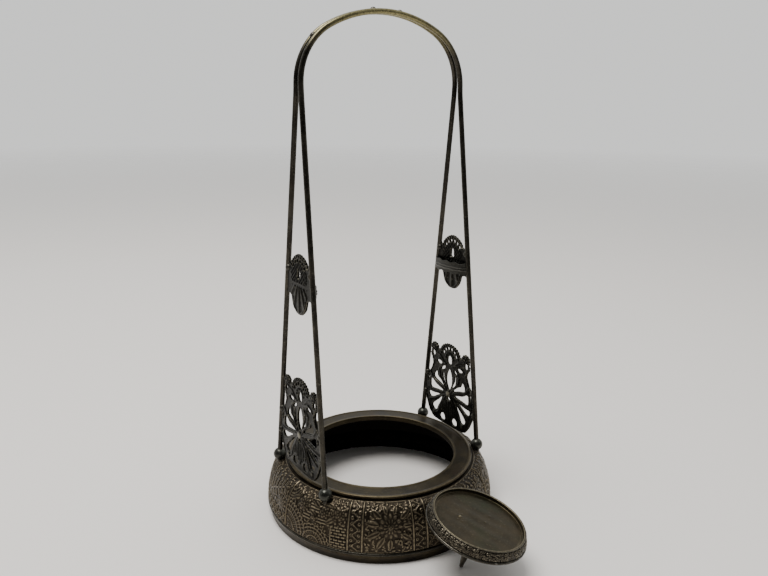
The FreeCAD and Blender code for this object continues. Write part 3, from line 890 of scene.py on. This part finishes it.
tarnished("lid_embossed_plate", (0.008, 0.007, 0.005), (0.028, 0.023, 0.017), (0.26, 0.23, 0.17),
          (0.012, 0.009, 0.007), relief=(0.45, 1.25), smooth=(0.22, 0.4))
tarnished("lid_edge_plate", (0.02, 0.018, 0.014), (0.09, 0.082, 0.066), (0.7, 0.68, 0.6),
          (0.060, 0.047, 0.034), smooth=(0.14, 0.26))
tarnished("finial_plate", (0.05, 0.045, 0.035), (0.12, 0.105, 0.08), (0.25, 0.22, 0.18),
          (0.080, 0.070, 0.040))


# Pieces

SHEET = 0.9                     # thickness of the base's sheet
COLLAR_SHADE_WIDTH = 6.0               # of the ring of painted shade beside the collar


def make_shell():
    points, faces, values = relief_ring(shell_profile, SHELL_COLUMNS, 80, SHEET, 10, shell_relief)
    beyond = from_axis(points) - collar_radius
    # Painted shade: the metal is rubbed less, and so darker, in a ring beside the collar.
    collar_shade = 0.45 * np.clip(1 - beyond / COLLAR_SHADE_WIDTH, 0, 1)
    values = np.where(values > PAINTED_SHADE_MARK / 2, values - collar_shade, values)
    make_piece("embossed_shell", points, faces, "embossed_plate", values, "base_shell")


COLLAR_DISH = 0.25              # how far the collar's flat lies below its two lips


def make_collar():
    """Flat ring with a rolled outer lip and a turned-down inner flange, rubbed along both lips, with
    painted shade inside the flange.
    """
    (_, _, flange_end), (_, _, top) = node_box("collar_ring")
    flange = opening_radius + SHEET
    flat = top - COLLAR_DISH
    outline = [(opening_radius, flange_end), (flange, flange_end), (flange, shell_top),
               (collar_radius - 0.3, shell_top), (collar_radius, shell_top + 0.4),
               (collar_radius, top - 0.4), (collar_radius - 0.6, top), (collar_radius - 1.5, top),
               (collar_radius - 2.1, flat), (opening_radius + 1.6, flat),
               (opening_radius + 1.0, top), (opening_radius, top)]
    points, faces = lathe(soften(outline, 0.45))
    radius = from_axis(points)
    edge = np.minimum(np.abs(radius - collar_radius + 0.9), np.abs(radius - opening_radius - 0.5))
    values = np.where(points[:, 2] > top - 0.2, np.clip(1.2 - edge, 0, 1), 0)
    # Painted shade on the inside of the turned-down flange.
    values = np.where((radius < flange + 0.1) & (points[:, 2] < top - 0.6), PAINTED_SHADE_MARK / 2, values)
    make_piece("rolled_collar", points, faces, "plain_plate", values, "collar_ring")


def make_foot():
    band = node_points("foot_band")
    outer = outer_profile(band)
    inner = from_axis(band).min()
    outline = np.vstack([outer, [(inner, outer[-1, 1]), (inner, outer[0, 1])]])
    points, faces = lathe(outline)
    # Painted shade on the band's inner face.
    values = np.where(from_axis(points) < inner + 0.1, PAINTED_SHADE_MARK, 0.3)
    make_piece("spun_foot", points, faces, "plain_plate", values, "foot_band")


STRAP_SHEET = 0.7
STRAP_RIDGES = (0.36, 0.58)     # places of the strap's two ridges, as shares of its height
STRAP_RIDGE = 0.45              # their height
STRAP_WAVE = 0.35               # how far the strap's long edges wave


def strap_line(low, high):
    """Line of the right strap in plan, from its rear end to its front end, and the direction
    that faces the jar."""
    nearest, deepest, half = high[0], low[0], high[1]
    depth = nearest - deepest
    rear = [(nearest, half), (nearest, 0.94 * half), (nearest - 0.6 * depth, 0.83 * half),
            (deepest + 0.25 * depth, 0.62 * half), (deepest + 0.05 * depth, 0.3 * half),
            (deepest + 0.02, 0)]
    front = [(x, -y) for x, y in reversed(rear[:-1])]
    line, _ = resample(soften(rear + front, 2.5, closed=False), 90)
    return line, normals(line)


def make_straps():
    """Thin straps with two ridges along them, bent like the CAD straps but with soft corners."""
    low, high = node_box("tongs_strap_right")
    line, inward = strap_line(low, high)
    up = np.linspace(0, 1, 26)
    lift = sum(ridge(up - place, 0.06, STRAP_RIDGE) for place in STRAP_RIDGES)
    share = np.concatenate([up, up[::-1]])
    out = np.concatenate([lift, lift[::-1] - STRAP_SHEET]) - STRAP_RIDGE
    wave = STRAP_WAVE * (np.cos(4 * math.pi * np.abs(line[:, 1]) / high[1]) - 1)
    spots = line[:, None, :] + inward[:, None, :] * out[None, :, None]
    height = low[2] + (high[2] - low[2]) * share + wave[:, None] * (2 * share - 1)
    points = np.concatenate([spots, height[..., None]], -1).reshape(-1, 3)

    count, around = height.shape
    faces = grid_faces(count, around, False).tolist()
    for k in range(around // 2 - 1):
        first = [k, k + 1, around - 2 - k, around - 1 - k]
        faces.append(first[::-1])
        faces.append([(count - 1) * around + corner for corner in first])
    values = np.tile(2 * np.concatenate([lift, lift[::-1]]), count)
    mirrored = [face[::-1] for face in faces]
    for side_x, side, turned in ((1, "right", faces), (-1, "left", mirrored)):
        make_piece("ridged_strap_" + side, points * (side_x, 1, 1), turned, "strap_plate", values,
                   "tongs_strap_" + side)


RIM_SHEET = 0.5
PLATE_SHEET = 0.7
PLATE_CROWN = 0.15              # how far the plate's middle stands above its edge
SOLDER_SPOT = (-7.3, 5.5)       # drop of solder on the lid's plate
SMEARS = [(-9.8, 4.2), (-8.6, 2.2), (-5.0, 6.6), (9.0, 1.5), (12.5, -6.0), (3.5, -1.5)]

lid_matrix = np.array(lid_place())


def lay(points):
    """Points of the lid's drawing, in the place where the lid lies."""
    return points @ lid_matrix[:3, :3].T + lid_matrix[:3, 3]


def drawn(node):
    """Points of a lid node, as the lid's drawing has them."""
    return (node_points(node) - lid_matrix[:3, 3]) @ lid_matrix[:3, :3]


def plate_relief(points, reach):
    """Dents and drops of solder on the lid's plate, and how bright the drops are."""
    x, y = points[:, 0], points[:, 1]
    dents = 0.12 * np.sin(0.5 * x + 1) * np.sin(0.4 * y + 0.3 * x) * (1 - (from_axis(points) / reach) ** 2)
    drops = ridge(apart(x, y, SOLDER_SPOT), 0.8, 0.55)
    for smear in SMEARS:
        drops = np.maximum(drops, ridge(apart(x, y, smear), 0.5, 0.22))
    return dents + drops, 2 * drops


def make_lid_pan():
    """Flat plate with a thin upright rim, with a painted highlight along the fold where the two meet and
    along the rim's top, and painted shade on the rim's inner wall.
    """
    pan = drawn("lid_pan")
    wall, under, rim_top = from_axis(pan).max(), pan[:, 2].min(), pan[:, 2].max()
    inner = wall - RIM_SHEET
    plate_top = under + PLATE_SHEET
    rim = [(0, under), (wall, under), (wall, rim_top), (inner, rim_top), (inner, plate_top + 0.25),
           (inner - 0.6, plate_top), (inner - 1.4, plate_top + 0.12)]
    plate = [(reach, plate_top + PLATE_CROWN) for reach in (*np.arange(inner - 2, 0.3, -0.4), 0)]
    points, faces = lathe(np.vstack([soften(rim, 0.3, closed=False), plate]), 256)
    spread = from_axis(points)
    face = points[:, 2] > plate_top
    # Painted highlight along the fold near the rim and along the rim's top.
    bright = 0.8 * ridge(spread - inner + 1.1, 0.35, 1) * face
    bright = np.maximum(bright, points[:, 2] > rim_top - 0.15)
    # Painted shade on the rim's inner wall.
    shaded_wall = (np.abs(spread - inner) < 0.25) & (points[:, 2] < rim_top - 0.3)
    inside = face & (spread < inner - 1.5)
    height, shine = plate_relief(points, inner)
    values = np.maximum(np.where(shaded_wall, PAINTED_SHADE_MARK, bright), shine * inside)
    points[:, 2] += np.where(inside, height, 0)
    make_piece("spun_lid_pan", lay(points), faces, "lid_plain_plate", values, "lid_pan", LID_BODY)


def make_lid_band():
    profile = outer_profile(drawn("lid_band"))
    points, faces, values = relief_ring(profile, BAND_COLUMNS, 28, BAND_SHEET, 6, lid_band_relief)
    # Painted highlight along the band's top edge.
    values = np.where(points[:, 2] > profile[-1, 1] - 0.3, 1, values)
    make_piece("embossed_lid_band", lay(points), faces, "lid_embossed_plate", values, "lid_band",
               LID_BODY)


make_shell()
make_collar()
make_foot()
make_plaques()
make_straps()
make_lid_pan()
make_lid_band()
dress("bail_plate", "foot_bead", "front_bail_wire", "rear_bail_wire")
dress("ball_plate", "leg_ball_left_front", "leg_ball_left_rear", "leg_ball_right_front",
      "leg_ball_right_rear")
dress("solder", "leg_solder_joints", "arch_solder_beads", "lower_plaque_solder", "upper_plaque_solder")
dress("lid_plain_plate", "lid_dome")
dress("lid_edge_plate", "lid_edge_wire")
dress("finial_plate", "finial", "finial_washer", "finial_stud", "finial_nut")


# Floor, light and camera

FLOOR_HALF = 6.0                # metres
FLOOR_FADE = (0.7, 3.0)         # metres from the middle between which the floor melts away


def make_floor():
    z = table_z * MM - 0.0001
    corners = [(x * FLOOR_HALF, y * FLOOR_HALF, z) for x, y in ((-1, -1), (1, -1), (1, 1), (-1, 1))]
    mesh = bpy.data.meshes.new("floor")
    mesh.from_pydata(corners, [], [(0, 1, 2, 3)])
    material, nodes = new_material("floor")
    away = nodes.add("ShaderNodeVectorMath", operation="LENGTH")
    nodes.link(nodes.places["Object"], away.inputs[0])
    paint = nodes.add("ShaderNodeBsdfPrincipled")
    paint.inputs["Base Color"].default_value = (0.84, 0.81, 0.78, 1)
    paint.inputs["Roughness"].default_value = 0.6
    fade = nodes.add("ShaderNodeMixShader")
    nodes.link(nodes.ramp(away.outputs["Value"], *FLOOR_FADE), fade.inputs[0])
    nodes.link(paint.outputs[0], fade.inputs[1])
    nodes.link(nodes.add("ShaderNodeBsdfTransparent").outputs[0], fade.inputs[2])
    nodes.show(fade, "ShaderNodeOutputMaterial")
    mesh.materials.append(material)
    add_object("floor", mesh)


# The camera stands where a person does who looks down at the object from its front left.
# Distances are from the object's axis, in millimetres.
CAMERA_TURN = math.radians(34.21)
CAMERA_PITCH = math.radians(15.1)
CAMERA_ROLL = math.radians(0.66)
CAMERA_BACK = 371.73
CAMERA_ASIDE = 1.34
CAMERA_HEIGHT = 225.64          # above the table
CAMERA_LENS = 33.68

ROOM_DARK = 0.12                # strength of the room behind the camera
ROOM_BRIGHT = 0.98              # strength of the wall in front of it and of the ceiling
BACKDROP = 1.0                  # strength of the plain backdrop that the camera itself sees
LAMP_PLACE = (-0.35, 0.1, 1.4)  # metres


def make_light():
    """A pale backdrop for the eye. What the metal mirrors is a dim room behind the camera, and
    a pale wall and ceiling in front of it and above."""
    world = bpy.data.worlds.new("studio")
    bpy.context.scene.world = world
    world.use_nodes = True
    nodes = Nodes(world.node_tree)
    along = nodes.add("ShaderNodeVectorMath", operation="DOT_PRODUCT")
    along.inputs[1].default_value = (math.sin(CAMERA_TURN), math.cos(CAMERA_TURN), 0.35)
    nodes.link(nodes.places["Generated"], along.inputs[0])
    strength = nodes.add("ShaderNodeMix")
    nodes.link(nodes.add("ShaderNodeLightPath").outputs["Is Camera Ray"], strength.inputs["Factor"])
    nodes.link(nodes.ramp(along.outputs["Value"], -0.5, 0.45, ROOM_DARK, ROOM_BRIGHT),
               strength.inputs["A"])
    strength.inputs["B"].default_value = BACKDROP
    background = nodes.add("ShaderNodeBackground")
    background.inputs["Color"].default_value = (0.95, 0.955, 0.94, 1)
    nodes.link(strength.outputs["Result"], background.inputs["Strength"])
    nodes.show(background, "ShaderNodeOutputWorld")
    lamp = bpy.data.lights.new("ceiling", "AREA")
    lamp.shape = "DISK"
    lamp.size = 0.9
    lamp.energy = 21
    lamp.color = (1, 0.98, 0.95)
    light = add_object("ceiling", lamp)
    light.location = LAMP_PLACE
    light.rotation_euler = (-Vector(LAMP_PLACE)).to_track_quat("-Z", "Y").to_euler()


def make_camera():
    data = bpy.data.cameras.new("camera")
    data.lens = CAMERA_LENS
    data.clip_start = 0.01
    camera = add_object("camera", data)
    turn = Matrix.Rotation(-CAMERA_TURN, 4, "Z")
    place = turn @ Vector((CAMERA_ASIDE, -CAMERA_BACK, CAMERA_HEIGHT + table_z)) * MM
    tilt = Matrix.Rotation(math.pi / 2 - CAMERA_PITCH, 4, "X")
    roll = Matrix.Rotation(CAMERA_ROLL, 4, "Z")
    camera.matrix_world = Matrix.Translation(place) @ turn @ tilt @ roll
    bpy.context.scene.camera = camera


make_floor()
make_light()
make_camera()
